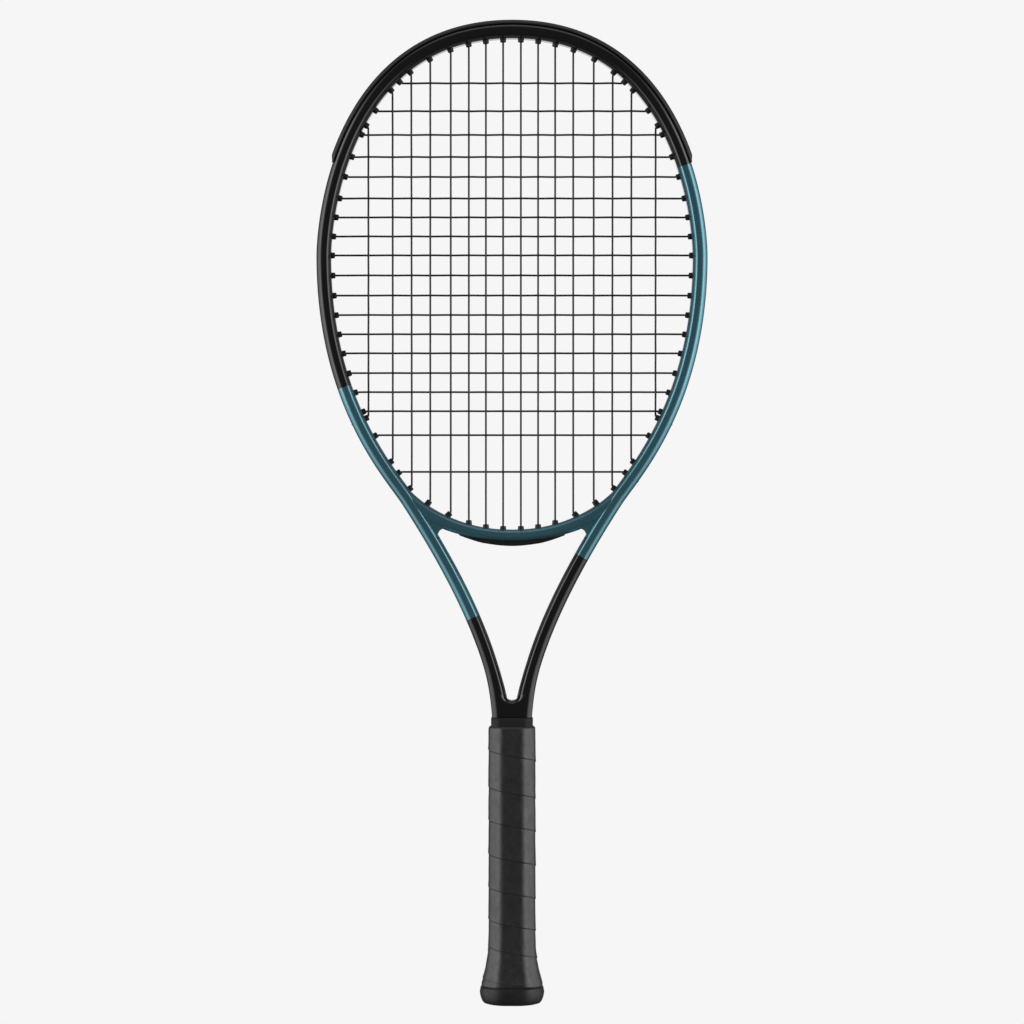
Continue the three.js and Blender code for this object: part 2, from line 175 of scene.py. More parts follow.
def fillet(points, radii, seg=4):
    """Closed outline with each corner rounded, always the same number of points."""
    out = []
    n = len(points)
    for i, (p, r) in enumerate(zip(points, radii)):
        if r <= 0:
            out.append(p)
            continue
        a, b = points[i - 1], points[(i + 1) % n]
        la, lb = math.dist(p, a), math.dist(p, b)
        k = min(r, 0.48 * la, 0.48 * lb)
        pa = (p[0] + (a[0] - p[0]) * k / la, p[1] + (a[1] - p[1]) * k / la)
        pb = (p[0] + (b[0] - p[0]) * k / lb, p[1] + (b[1] - p[1]) * k / lb)
        for j in range(seg + 1):
            t = j / seg
            s = 1 - t
            out.append((s * s * pa[0] + 2 * s * t * p[0] + t * t * pb[0],
                        s * s * pa[1] + 2 * s * t * p[1] + t * t * pb[1]))
    return out


def shrunk(ring, share=0.004):
    cx, cy, cz = (sum(p[i] for p in ring) / len(ring) for i in range(3))
    return [(x + (cx - x) * share, y + (cy - y) * share, z + (cz - z) * share) for x, y, z in ring]


def loft(rings, closed_ends=True):
    """Vertices and faces joining equal rings of points, in order. Each closed end has a fine edge
    band of its own, which keeps the flat end from tinting the shading of the sides."""
    if closed_ends:
        rings = [shrunk(rings[0])] + list(rings) + [shrunk(rings[-1])]
    n = len(rings[0])
    verts = [p for ring in rings for p in ring]
    faces = []
    for i in range(len(rings) - 1):
        for j in range(n):
            a, b = i * n + j, i * n + (j + 1) % n
            faces.append((a, b, b + n, a + n))
    if closed_ends:
        faces.append(tuple(reversed(range(n))))
        faces.append(tuple(range((len(rings) - 1) * n, len(rings) * n)))
    return verts, faces


def flipped(faces):
    return [tuple(reversed(f)) for f in faces]


def looped_loft(rings):
    """A loft whose last ring joins the first, so that it encloses a ring-shaped body."""
    verts, faces = loft(rings, closed_ends=False)
    n, last = len(rings[0]), len(verts) - len(rings[0])
    faces += [(last + j, last + (j + 1) % n, (j + 1) % n, j) for j in range(n)]
    return verts, flipped(faces)


def merge(parts):
    verts, faces = [], []
    for v, f in parts:
        k = len(verts)
        verts += v
        faces += [tuple(i + k for i in face) for face in f]
    return verts, faces


def ring_at(f, section, y0=0.0):
    """A section (u outwards, v along Y) placed on a frame."""
    return [(f[0] + f[2] * u, y0 + v, f[1] + f[3] * u) for u, v in section]


def mirror_frame(f):
    return (-f[0], f[1], -f[2], f[3])


def turn_of(count):
    """Angles at even steps round a full turn."""
    return [2 * math.pi * k / count for k in range(count)]


def tube(points, r, sides=10):
    """Round string along 3-D points, with frames that don't twist."""
    pts = [Vector(p) for p in points]
    rings = []
    ref = Vector((0.0, 1.0, 0.0))
    for i, p in enumerate(pts):
        d = (pts[min(i + 1, len(pts) - 1)] - pts[max(i - 1, 0)]).normalized()
        ref = (ref - d * ref.dot(d)).normalized()
        other = d.cross(ref)
        rings.append([tuple(p + (ref * math.cos(a) + other * math.sin(a)) * r)
                      for a in turn_of(sides)])
    return loft(rings)


# ---- materials -----------------------------------------------------------------------------
def new_material(name):
    m = bpy.data.materials.new(name)
    m.use_nodes = True
    return m, m.node_tree, m.node_tree.nodes["Principled BSDF"]


def add_node(tree, kind, **values):
    node = tree.nodes.new(kind)
    for key, value in values.items():
        if key in node.inputs:
            node.inputs[key].default_value = value
        else:
            setattr(node, key, value)
    return node


def noise(tree, scale, detail=4.0, rough=0.55, stretch=None):
    coords = add_node(tree, "ShaderNodeTexCoord")
    tex = add_node(tree, "ShaderNodeTexNoise", Scale=scale, Detail=detail, Roughness=rough)
    if stretch:
        mapping = add_node(tree, "ShaderNodeMapping")
        mapping.inputs["Scale"].default_value = stretch
        tree.links.new(coords.outputs["Object"], mapping.inputs["Vector"])
        tree.links.new(mapping.outputs["Vector"], tex.inputs["Vector"])
    else:
        tree.links.new(coords.outputs["Object"], tex.inputs["Vector"])
    return tex


def vary(tree, fac, low, high, socket):
    """Drives a socket between two values, or two colours, by a 0..1 texture."""
    if isinstance(low, tuple):
        mix = add_node(tree, "ShaderNodeMix", data_type="RGBA")
        mix.inputs[6].default_value = (*low, 1)
        mix.inputs[7].default_value = (*high, 1)
        tree.links.new(fac, mix.inputs[0])
        tree.links.new(mix.outputs[2], socket)
    else:
        span = add_node(tree, "ShaderNodeMapRange")
        span.inputs["From Min"].default_value = 0.3
        span.inputs["From Max"].default_value = 0.7
        span.inputs["To Min"].default_value = low
        span.inputs["To Max"].default_value = high
        tree.links.new(fac, span.inputs["Value"])
        tree.links.new(span.outputs["Result"], socket)


def bump(tree, bsdf, height, strength, distance, onto=None):
    node = add_node(tree, "ShaderNodeBump", Strength=strength, Distance=distance)
    tree.links.new(height, node.inputs["Height"])
    if onto:
        tree.links.new(onto.outputs["Normal"], node.inputs["Normal"])
    tree.links.new(node.outputs["Normal"], bsdf.inputs["Normal"])


def lacquer(name, low, high, metallic, rough, coat):
    """Clear-coated paint with fine flakes between two colours and a faint orange peel."""
    m, t, b = new_material(name)
    b.inputs["Metallic"].default_value = metallic
    b.inputs["Coat Weight"].default_value = coat
    b.inputs["Coat Roughness"].default_value = 0.05
    flake = noise(t, 5200, 2.0, 0.6)
    vary(t, flake.outputs["Fac"], low, high, b.inputs["Base Color"])
    handling = noise(t, 26, 5.0)
    vary(t, handling.outputs["Fac"], rough * 0.85, rough * 1.25, b.inputs["Roughness"])
    peel = noise(t, 900, 2.0)
    bump(t, b, peel.outputs["Fac"], 0.05, 0.0001)
    return m


def plastic(name, low, high, rough_low, rough_high, grain=1800, strength=0.2, spec=0.5):
    """Moulded plastic, also used for rubber, foam and wire: uneven tone and wear, and a fine grain."""
    m, t, b = new_material(name)
    b.inputs["Specular IOR Level"].default_value = spec
    shade = noise(t, 60, 4.0)
    vary(t, shade.outputs["Fac"], low, high, b.inputs["Base Color"])
    wear = noise(t, 140, 5.0)
    vary(t, wear.outputs["Fac"], rough_low, rough_high, b.inputs["Roughness"])
    fine = noise(t, grain, 3.0)
    bump(t, b, fine.outputs["Fac"], strength, 0.0002)
    return m


def grip_leather():
    """Cushioned synthetic leather: fine pores, soft creases and a gloss that varies with handling."""
    m, t, b = new_material("grip_leather")
    b.inputs["Specular IOR Level"].default_value = 1.0
    b.inputs["Sheen Weight"].default_value = 0.08
    tone = noise(t, 85, 6.0, 0.6)
    darkest, palest = (0.0050, 0.0053, 0.0062), (0.0105, 0.011, 0.0125)
    vary(t, tone.outputs["Fac"], darkest, palest, b.inputs["Base Color"])
    handled = noise(t, 190, 5.0, 0.65)
    vary(t, handled.outputs["Fac"], 0.36, 0.52, b.inputs["Roughness"])
    coords = add_node(t, "ShaderNodeTexCoord")
    pores = add_node(t, "ShaderNodeTexVoronoi", Scale=1500.0)
    t.links.new(coords.outputs["Object"], pores.inputs["Vector"])
    first = add_node(t, "ShaderNodeBump", Strength=0.25, Distance=0.0002)
    t.links.new(pores.outputs["Distance"], first.inputs["Height"])
    creases = noise(t, 320, 6.0, 0.7, (1, 1, 0.35))
    bump(t, b, creases.outputs["Fac"], 0.35, 0.0004, onto=first)
    return m


PAINT_BLACK = lacquer("paint_black", (0.0035, 0.0035, 0.004), (0.0055, 0.0055, 0.0065), 0.0, 0.16, 0.6)
PAINT_TEAL = lacquer("paint_teal", (0.105, 0.295, 0.365), (0.120, 0.325, 0.400), 0.74, 0.25, 0.5)
BUMPER_MAT = plastic("bumper_plastic", (0.020, 0.021, 0.023), (0.030, 0.031, 0.034), 0.42, 0.6, 1400, 0.3)
GROMMET_MAT = plastic("grommet_plastic", (0.008, 0.008, 0.009), (0.013, 0.013, 0.014), 0.35, 0.5, 1600,
                      0.15)
STRING_MAT = plastic("string_polymer", (0.020, 0.020, 0.019), (0.030, 0.030, 0.028), 0.25, 0.4, 900, 0.08)
COLLAR_MAT = plastic("collar_rubber", (0.010, 0.010, 0.011), (0.018, 0.018, 0.019), 0.55, 0.75, 1500, 0.3,
                     0.35)
CAP_MAT = plastic("cap_plastic", (0.009, 0.009, 0.010), (0.015, 0.015, 0.016), 0.4, 0.58, 1700, 0.25)
FOAM_MAT = plastic("handle_foam", (0.20, 0.17, 0.125), (0.27, 0.235, 0.18), 0.7, 0.9, 700, 0.5, 0.3)
STEEL_MAT = plastic("staple_steel", (0.55, 0.55, 0.56), (0.65, 0.65, 0.66), 0.25, 0.35, 900, 0.05)
GRIP_MAT = grip_leather()


# ---- the frame's tube ---------------------------------------------------------------------------
LEAST_GROOVE = 0.03                 # keeps the outline's points apart where there is no groove


def beam_section(groove=0.0, su=1.0, sv=1.0):
    """Outline of the tube: u outwards, v along the depth. groove is the string groove's depth."""
    g = max(groove, LEAST_GROOVE)
    half = [(-HALF_W, 4.4), (-3.8, 9.4), (-2.5, HALF_D), (2.6, HALF_D), (HALF_W, 7.2),
            (HALF_W, GROOVE_HALF), (HALF_W - g, GROOVE_HALF)]
    radii = [1.6, 0.9, 1.0, 2.6, 1.6, 0.45, 0.3]
    pts = half + [(u, -v) for u, v in reversed(half)]
    return [(u * su, v * sv) for u, v in fillet(pts, radii + radii[::-1])]


def tube_width(z):
    """The tube's width against its usual width: fuller where the shafts meet."""
    return lerp_table([(235, 1), (225, 1.05), (208, 1.2), (200, 1.24), (191, 1.15)], z)


def tube_depth(z):
    """The tube's depth against its usual depth: slimmer towards the handle."""
    return lerp_table([(250, 1), (215, 0.92), (199, 0.8), (188, 0.7)], z)


def groove_depth(z):
    return (HALF_W - GROOVE_FLOOR) * smooth(GROOVE_END_Z - 2, GROOVE_END_Z + 4, z)


def frames_between(s0, s1, step, extra=()):
    """Frames at even steps along the tube, and at any extra stations that fall between the ends."""
    n = max(2, int((s1 - s0) / step))
    even = [s0 + (s1 - s0) * i / n for i in range(n + 1)]
    stations = sorted(even + [s for s in extra if s0 < s < s1])
    return [tube_line.frame(s) for s in stations]


def is_teal(side, z):
    high, low = PAINT_SPLIT[side]
    return low < z < high


def painted_loft(name, sided_frames, replaced):
    """Loft of the tube, painted by side and height. sided_frames is a list of (side, frame)."""
    rings, tags = [], []
    for side, f in sided_frames:
        section = beam_section(groove_depth(f[1]), tube_width(f[1]), tube_depth(f[1]))
        rings.append(ring_at(mirror_frame(f) if side < 0 else f, section))
        tags.append((side, f[1]))
    verts, faces = loft(rings)
    n = len(rings[0])
    index = []
    for i in range(len(rings) - 1):
        side = tags[i][0] if abs(rings[i][0][0]) > abs(rings[i + 1][0][0]) else tags[i + 1][0]
        z = (tags[i][1] + tags[i + 1][1]) / 2
        index += [1 if is_teal(side, z) else 0] * n
    index = [index[0]] * n + index + [index[-1]] * n + [index[0], index[-1]]
    obj = add_mesh(name, verts, faces, [PAINT_BLACK, PAINT_TEAL], weighted=True, face_mats=index)
    finish_piece(obj, "racket", replaced)


S_HOOP = s_at_z(HOOP_END_Z)
S_WIDE = s_at_z(520)
S_BUMPER = s_at_z(BUMPER_END_Z)
S_GROOVE = s_at_z(GROOVE_END_Z)
splits = [s_at_z(z) for pair in PAINT_SPLIT.values() for z in pair]
groove_ends = [s_at_z(GROOVE_END_Z + dz) for dz in (-2, -1, 0, 1, 2, 3, 4)]
hoop_frames = frames_between(0, S_HOOP, 3.2, splits + groove_ends)
painted_loft("hoop_tube", [(-1, f) for f in reversed(hoop_frames[1:])] + [(1, f) for f in hoop_frames],
             ["frame_hoop"])
shaft_frames = frames_between(S_HOOP, s_at_z(14), 3.0, splits)
painted_loft("shaft_tube_right", [(1, f) for f in shaft_frames], ["frame_shaft_right"])
painted_loft("shaft_tube_left", [(-1, f) for f in reversed(shaft_frames)],
             ["frame_shaft_left"])

# ---- throat bridge --------------------------------------------------------------------------------
bridge_half = Line(bezier((0, 326.0), (36, 325.8), (72.5, 340.8), (87.3, 372), 200))
bridge_top = bezier((0, 329.9), (30, 329.9), (50, 340), (72, 359.5), 200)


def bridge_top_z(x):
    return min(bridge_top, key=lambda p: abs(p[0] - x))[1]


def bridge_low_z(x):
    if abs(x) < 19:
        return 322 + 1.4 * (abs(x) / 19) ** 2
    return 323.4 + 4.4 * (abs(x) - 19) / 18


def bridge_frame(s):
    """Frame with its normal pointing down and out, away from the strings."""
    x, z, nx, nz = bridge_half.frame(max(s, 0.61))
    return (x, z, -nx, -nz) if s > 0 else (0.0, z, 0.0, -1.0)


def bridge_ring(s, side):
    """The bridge's section at a distance from its middle. Its ends sink into the hoop."""
    f = bridge_frame(s)
    t = s / bridge_half.length
    wide = 0.80 + 0.19 * smooth(0.1, 0.62, t) - 0.1 * smooth(0.8, 1.0, t)
    deep = 0.955 + 0.035 * smooth(0.3, 0.6, t) - 0.12 * smooth(0.66, 0.9, t)
    outer = 1 - 0.5 * smooth(0.5, 0.8, t)
    section = [(u * (outer if u > 0 else 1), v) for u, v in beam_section(su=wide, sv=deep)]
    return ring_at(mirror_frame(f) if side < 0 else f, section)


def throat_corner(side):
    """The small web that rounds the corner between the bridge and a shaft."""
    curve = [(41.5, 329.3), (51.6, 333.6), (51.9, 323.6)]
    arc = []
    for i in range(13):
        t = i / 12
        a, b, c = (1 - t) ** 2, 2 * t * (1 - t), t * t
        arc.append(tuple(a * p + b * q + c * r for p, q, r in zip(*curve)))
    outline = arc + [(56.5, 325), (61.5, 334), (60, 340), (52, 337.5), (45, 334)]
    centre = (52.5, 332.5)
    front = [(-9.4, 0.16), (-9.1, 0.07), (-8.2, 0.015), (-7.2, 0.0)]
    rings = []
    for v, inset in front + [(-v, inset) for v, inset in reversed(front)]:
        rings.append([(side * (x + (centre[0] - x) * inset), v, z + (centre[1] - z) * inset)
                      for x, z in outline])
    verts, faces = loft(rings)
    return verts, (faces if side < 0 else flipped(faces))


BRIDGE_STEPS = 44
bridge_s = [bridge_half.length * i / BRIDGE_STEPS for i in range(BRIDGE_STEPS + 1)]
bridge_rings = ([bridge_ring(s, -1) for s in reversed(bridge_s[1:])]
                + [bridge_ring(s, 1) for s in bridge_s])
bridge_parts = [loft(bridge_rings), throat_corner(1), throat_corner(-1)]
bridge = add_mesh("bridge", *merge(bridge_parts), [PAINT_TEAL], weighted=True)
finish_piece(bridge, "racket", ["throat_bridge"])


# ---- where the shafts meet: the web with a round-bottomed crotch ------------------------------------
def crotch_web():
    """Fills the gap between the shafts below the throat opening, bevelled round the opening."""
    radius = 4.9
    centre_z = 211.2 + radius
    half_w, low = 9, 187
    front = [(-1.0, 3.0), (-0.98, 2.2), (-0.86, 0.9), (-0.6, 0.0)]
    rings = []
    for v, inset in front + [(-v, inset) for v, inset in reversed(front)]:
        arc = []
        for i in range(17):
            a = math.pi * (-0.5 + i / 16)
            arc.append((math.sin(a) * (radius + inset), centre_z - math.cos(a) * (radius + inset)))
        outline = [(-half_w, low), (-half_w, centre_z)] + arc + [(half_w, centre_z), (half_w, low)]
        rings.append([(x, v * (HALF_D + 0.05) * tube_depth(z), z) for x, z in outline])
    verts, faces = loft(rings)
    return verts, flipped(faces)


web = add_mesh("crotch_web", *crotch_web(), [PAINT_BLACK], weighted=True)
finish_piece(web, "racket")


# ---- string holes, as in the CAD model ---------------------------------------------------------------
class Hole:
    """One string hole, as (x, z) points: where the string bends inside the head, the hole's outer end,
    and the loop outside. strip names the piece whose barrel lines it; s is its distance along the tube."""

    def __init__(self, bend, out, loop, strip, s=None):
        self.bend, self.out, self.loop, self.strip, self.s = bend, out, loop, strip, s
        d = (out[0] - bend[0], out[1] - bend[1])
        k = math.hypot(*d)
        self.dir = (d[0] / k, d[1] / k)
        self.tip = (bend[0] + self.dir[0] * BEND_GAP, bend[1] + self.dir[1] * BEND_GAP)
        self.side = 1

    def mirrored(self):
        flip = Hole((-self.bend[0], self.bend[1]), (-self.out[0], self.out[1]),
                    (-self.loop[0], self.loop[1]), self.strip, self.s)
        flip.dir, flip.tip, flip.side = (-self.dir[0], self.dir[1]), (-self.tip[0], self.tip[1]), -1
        return flip


MOUTH_U = -(HALF_W + BARREL_OUT)
BARREL_MID_U = -(HALF_W + 1.3)
SLACK = 0.75                        # how far off its barrel's axis a tight string can leave


def head_hole(s, axis, value):
    """A hole square to the tube. The string leaves its mouth at x or z equal to value."""
    f = tube_line.frame(s)
    strip = "bumper" if f[1] > BUMPER_END_Z else "side"
    mouth = along(f, MOUTH_U - BEND_GAP)
    tangent = (f[3], -f[2])
    k = (value - mouth[axis]) / tangent[axis]
    k = max(-SLACK, min(SLACK, k))
    hole = Hole(along(f, MOUTH_U - BEND_GAP), along(f, HOLE_OUT_U), along(f, LOOP_U), strip, s)
    hole.bend = (mouth[0] + tangent[0] * k, mouth[1] + tangent[1] * k)
    return hole


def slant_hole(x, z):
    s = s_at_z(z)
    f = tube_line.frame(s)
    bend, out = (x, bridge_top_z(x) + 2.8), along(f, HOLE_OUT_U)
    d = (out[0] - bend[0], out[1] - bend[1])
    k = (LOOP_U - HOLE_OUT_U) / (d[0] * f[2] + d[1] * f[3])
    return Hole(bend, out, (out[0] + d[0] * k, out[1] + d[1] * k), "side", s)


def throat_hole(x):
    low = bridge_low_z(x) - 0.3
    return Hole((x, bridge_top_z(x) + BARREL_OUT + BEND_GAP), (x, low), (x, low - 0.95), "throat")


def low_hole(i, x):
    if i < THROAT_MAINS:
        return throat_hole(x)
    if i == 3:
        return slant_hole(x, 325.5)
    if i == 4:
        return slant_hole(x, 338.5)
    return head_hole(crossing(lambda f: along(f, BARREL_MID_U)[0] - x, S_WIDE, s_at_z(340)), 0, x)


def top_hole(x):
    return head_hole(crossing(lambda f: along(f, BARREL_MID_U)[0] - x, 1.0, S_WIDE), 0, x)


def side_hole(z):
    return head_hole(crossing(lambda f: along(f, BARREL_MID_U)[1] - z, 40.0, s_at_z(345)), 1, z)


top_holes = [top_hole(x) for x in MAIN_X]
low_holes = [low_hole(i, x) for i, x in enumerate(MAIN_X)]
side_holes = [side_hole(z) for z in CROSS_Z]


# ---- grommet barrels, bumper guard and strips --------------------------------------------------------
def barrel(hole, y0, sides=18):
    """A short plastic tube round the string, with a rounded rim."""
    length = math.dist(hole.tip, hole.out) + 0.4
    axis = Vector((hole.dir[0], 0, hole.dir[1]))
    across, up = Vector((-hole.dir[1], 0, hole.dir[0])), Vector((0, 1, 0))
    start = Vector((hole.tip[0], y0, hole.tip[1]))
    profile = [(length, BORE_R), (0.5, BORE_R), (0.12, BORE_R + 0.12), (0.0, BORE_R + 0.4), (0.0, 1.45),
               (0.12, 1.8), (0.45, BARREL_R), (1.7, BARREL_R + 0.03), (2.0, BARREL_R + 0.12),
               (length, BARREL_R + 0.12)]
    rings = []
    for h, r in profile:
        rings.append([tuple(start + axis * h + (across * math.cos(a) + up * math.sin(a)) * r)
                      for a in turn_of(sides)])
    return looped_loft(rings)


def barrels_for(strip, sides=(1, -1)):
    holes = [(h, MAIN_Y) for h in top_holes + low_holes] + [(h, CROSS_Y) for h in side_holes]
    parts = []
    for side in sides:
        for hole, y0 in holes:
            if hole.strip == strip:
                parts.append(barrel(hole if side > 0 else hole.mirrored(), y0))
    return parts


def bumper_section(proud):
    """The guard's outline. proud scales how far it stands out of the tube."""
    seat = 5.25
    half = [(2.4, 2.7), (seat, 2.7), (seat, 6.5), (4.35, 9.0), (5.1, 9.8), (6.5, 8.7), (7.6, 6.1),
            (7.4, 1.9), (3.1, 1.9)]
    radii = [0.2, 0.3, 0.4, 0.3, 0.45, 0.7, 1.1, 0.6, 0.25]
    half = [(u if u <= seat else seat + (u - seat) * proud, v) for u, v in half]
    pts = half + [(u, -v) for u, v in reversed(half)]
    return fillet(pts, radii + radii[::-1], 3)


def bumper_ring(f, side, s):
    proud = 1.0 - 0.72 * smooth(S_BUMPER - 5.0, S_BUMPER, s)
    return ring_at(mirror_frame(f) if side < 0 else f, bumper_section(proud))


count = int(S_BUMPER / 2.6)
even = [S_BUMPER * i / count for i in range(count + 1)]
bumper_s = sorted(set(even + [S_BUMPER - d for d in (4, 3, 2, 1, 0.5)]))
bumper_rings = ([bumper_ring(tube_line.frame(s), -1, s) for s in reversed(bumper_s[1:])]
                + [bumper_ring(tube_line.frame(s), 1, s) for s in bumper_s])
bumper_parts = [loft(bumper_rings)] + barrels_for("bumper")
bumper = add_mesh("bumper", *merge(bumper_parts), [BUMPER_MAT], weighted=True)
finish_piece(bumper, "racket", ["bumper_guard"])

STRIP = fillet([(2.4, -2.6), (3.1, -2.6), (3.1, 2.6), (2.4, 2.6)], [0.15, 0.25, 0.25, 0.15], 2)
for side, label in ((1, "right"), (-1, "left")):
    rings = [ring_at(mirror_frame(f) if side < 0 else f, STRIP)
             for f in frames_between(S_BUMPER + 0.3, S_GROOVE - 1.5, 3.0)]
    if side < 0:
        rings.reverse()
    parts = [loft(rings)] + barrels_for("side", (side,))
    strip = add_mesh("grommets_" + label, *merge(parts), [GROMMET_MAT], weighted=True)
    finish_piece(strip, "racket", ["grommet_strip_" + label])


THROAT_STRIP_HALF, THROAT_STRIP_STEPS = 36.8, 56


def throat_strip_ring(x):
    """A channel under the bridge that thins towards its ends."""
    t = abs(x) / THROAT_STRIP_HALF
    top = bridge_low_z(x) - 0.1
    if abs(x) < 19:
        low = 318.5 + 1.9 * (abs(x) / 19) ** 1.8
    else:
        low = 320.4 + 4.3 * ((abs(x) - 19) / 14.5) ** 1.25
    low = min(low, top - 0.8)
    depth = 6.3 - 1.2 * smooth(0.75, 1.0, t)
    cut = min(1.9, 0.55 * (top - low))
    half = [(1.9, low + cut), (1.9, low), (depth - 0.7, low), (depth, low + 0.7 * cut), (depth, top)]
    pts = half + [(-y, z) for y, z in reversed(half)]
    radii = [0.2, 0.35, 0.6, 0.6, 0.1]
    return [(x, y, z) for y, z in fillet(pts, radii + radii[::-1], 3)]


throat_rings = [throat_strip_ring(THROAT_STRIP_HALF * (2 * i / THROAT_STRIP_STEPS - 1))
                for i in range(THROAT_STRIP_STEPS + 1)]
throat_parts = [loft(throat_rings)] + barrels_for("throat")
throat_strip = add_mesh("throat_grommets", *merge(throat_parts), [GROMMET_MAT], weighted=True)
finish_piece(throat_strip, "racket", ["throat_grommet_strip"])


# ---- strings, woven over and under -----------------------------------------------------------------
def round_corners(points, reach=0.55):
    """Puts a short curve at each sharp turn."""
    out = [points[0]]
    for a, p, b in zip(points, points[1:], points[2:]):
        va, vb = Vector(p) - Vector(a), Vector(b) - Vector(p)
        if va.length < 1e-6 or vb.length < 1e-6 or va.angle(vb) < 0.2:
            out.append(p)
            continue
        ka, kb = min(reach, 0.45 * va.length), min(reach, 0.45 * vb.length)
        pa, pb = Vector(p) - va.normalized() * ka, Vector(p) + vb.normalized() * kb
        for i in range(5):
            t = i / 4
            out.append(tuple(pa * (1 - t) ** 2 + Vector(p) * (2 * t * (1 - t)) + pb * t * t))
    out.append(points[-1])
    return out


def loop_points(a, b, y):
    """Points of the loop that runs round the outside of the tube between two holes."""
    if a.strip == b.strip == "throat" or a.side != b.side:
        return []
    sa, sb = (h.s if h.s is not None else s_at_z(322) for h in (a, b))
    out = []
    for i in range(1, 6):
        x, z = along(tube_line.frame(sa + (sb - sa) * i / 6), LOOP_U)
        out.append((x * a.side, y, z))
    return out


def woven_run(a, b, crossings, end_y):
    """Points from a to b in the face, passing to one side or the other at each crossing.
    crossings is a list of (fraction along, y)."""
    keys = [(0.0, end_y)] + sorted(crossings) + [(1.0, end_y)]
    out = []
    for (t0, y0), (t1, y1) in zip(keys, keys[1:]):
        for i in range(7):
            f = i / 7
            y = y0 + (y1 - y0) * (0.5 - 0.5 * math.cos(math.pi * f))
            t = t0 + (t1 - t0) * f
            out.append((a[0] + (b[0] - a[0]) * t, y, a[1] + (b[1] - a[1]) * t))
    out.append((b[0], end_y, b[1]))
    return out


def over(main_index, cross_index):
    """The side to which a main passes at a crossing. The cross passes to the other side."""
    return WEAVE if (main_index + cross_index) % 2 else -WEAVE


main_lows = [h.mirrored() for h in reversed(low_holes)] + low_holes
main_tops = [h.mirrored() for h in reversed(top_holes)] + top_holes


CLEAR_OF_ENDS = 0.005               # crossings nearer an end than this share of the run aren't woven


def main_path():
    path = []
    for i, (low, top) in enumerate(zip(main_lows, main_tops)):
        rising = i % 2 == 0
        a, b = (low, top) if rising else (top, low)
        hits = []
        for j, hole in enumerate(side_holes):
            z = hole.bend[1]
            t = (z - a.bend[1]) / (b.bend[1] - a.bend[1])
            if abs(a.bend[0]) < hole.bend[0] and CLEAR_OF_ENDS < t < 1 - CLEAR_OF_ENDS:
                hits.append((t, over(i, j)))
        path += [(a.loop[0], MAIN_Y, a.loop[1])] + woven_run(a.bend, b.bend, hits, MAIN_Y)
        path.append((b.loop[0], MAIN_Y, b.loop[1]))
        nexts = main_tops if rising else main_lows
        if i < len(main_lows) - 1:
            path += loop_points(b, nexts[i + 1], MAIN_Y)
    return path


def cross_path():
    path = []
    for j, right in enumerate(side_holes):
        a, b = (right.mirrored(), right) if j % 2 == 0 else (right, right.mirrored())
        hits = []
        for i, (low, top) in enumerate(zip(main_lows, main_tops)):
            t = (low.bend[0] - a.bend[0]) / (b.bend[0] - a.bend[0])
            if low.bend[1] < right.bend[1] < top.bend[1] and CLEAR_OF_ENDS < t < 1 - CLEAR_OF_ENDS:
                hits.append((t, -over(i, j)))
        path += [(a.loop[0], CROSS_Y, a.loop[1])] + woven_run(a.bend, b.bend, hits, CROSS_Y)
        path.append((b.loop[0], CROSS_Y, b.loop[1]))
        if j < len(side_holes) - 1:
            nxt = side_holes[j + 1]
            path += loop_points(b, nxt if b.side > 0 else nxt.mirrored(), CROSS_Y)
    return path


def knot(p):
    """A tie-off: three tight turns of the string round itself."""
    turns = [(p[0] + 0.75 * math.cos(a), p[1] + 0.35 * math.sin(a * 0.5), p[2] + 0.75 * math.sin(a))
             for a in (2 * math.pi * i / 12 for i in range(31))]
    return tube(turns, 0.45, 8)


for label, path in (("main", main_path()), ("cross", cross_path())):
    body = merge([tube(round_corners(path), STRING_R, 10), knot(path[0]), knot(path[-1])])
    strings = add_mesh(label + "_strings", *body, [STRING_MAT])
    finish_piece(strings, "racket", [label + "_string"])


# ---- handle ---------------------------------------------------------------------------------------------
def octagon(x, y, c):
    return [(x, y - c), (x - c, y), (c - x, y), (-x, y - c),
            (-x, c - y), (c - x, -y), (x - c, -y), (x, c - y)]


def around(points, count):
    """The outline resampled evenly, starting at its left edge and going by the front, with normals."""
    line = Line(points + [points[0]])
    tries = [line.length * i / 2000 for i in range(2000)]
    start = min((s for s in tries if line.at(s)[0] < 0), key=lambda s: abs(line.at(s)[1]))
    out = []
    for k in range(count):
        s = (start + line.length * k / count) % line.length
        p, a, b = line.at(s), line.at((s - 0.5) % line.length), line.at((s + 0.5) % line.length)
        d = math.hypot(b[0] - a[0], b[1] - a[1])
        out.append((p[0], p[1], (b[1] - a[1]) / d, -(b[0] - a[0]) / d))
    return out


def flare(z):
    """How far the handle's end stands out beyond the grip's straight part."""
    return lerp_table([(46, 0), (41, 0.08), (37, 0.3), (32.5, 0.9), (28, 1.5), (24, 2.2), (20, 3.2),
                       (15.7, 4.4), (12, 5.4), (8, 5.9), (4, 5.2), (1.5, 3.9), (0.5, 2.9), (0, 1.9)], z)


def flare_scale(g):
    return 1 + g / OCT_X, 1 + 0.95 * g / OCT_Y


CUT_INSET = 2 - math.sqrt(2)        # share of an inset that an octagon's corner cut loses


def oct_ring(z, inset, corner, grow=None):
    """A level ring of the handle's eight-sided outline, drawn in by inset. grow replaces its flare."""
    base = fillet(octagon(OCT_X - inset, OCT_Y - inset, OCT_C - CUT_INSET * inset), [corner] * 8, 6)
    g = flare(z) if grow is None else grow
    sx, sy = flare_scale(g)
    return [(x * sx, y * sy, z) for x, y in base]


